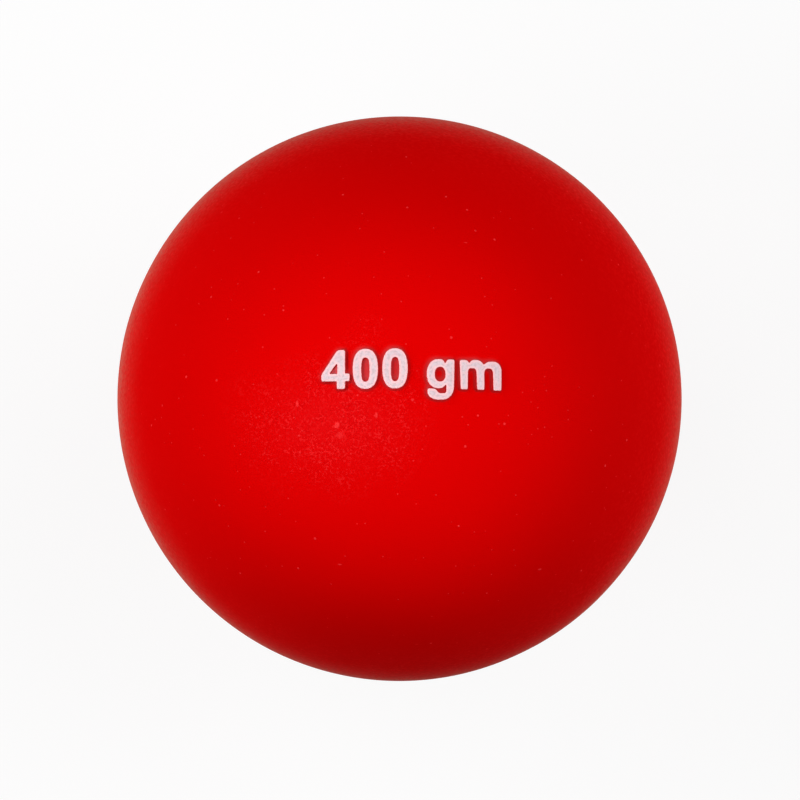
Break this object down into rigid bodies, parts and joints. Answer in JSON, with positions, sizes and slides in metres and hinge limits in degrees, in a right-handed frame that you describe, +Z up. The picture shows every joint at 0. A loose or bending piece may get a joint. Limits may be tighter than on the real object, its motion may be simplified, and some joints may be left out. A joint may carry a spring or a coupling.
{
  "type": "javelin training ball",
  "caption": "Small throwing ball with a soft moulded skin, a dry sand filling and a barbed plug in an inward filler neck; rests on a small flat.",
  "frame": {"origin": "on the floor under the ball's centre, in the middle of the plug's flat face", "axes": "+Z up through the ball's centre, from the filler plug to the crown with the weight mark"},
  "size_m": [0.08, 0.08, 0.0794],
  "materials": {
    "red_soft_plastic": "matte",
    "red_plug_plastic": "satin",
    "dry_sand": "matte",
    "white_mark_paint": "satin"
  },
  "bodies": {
    "root": {"ball_shell": "red_soft_plastic", "filler_plug": "red_plug_plastic", "sand_fill": "dry_sand"}
  },
  "joints": []
}
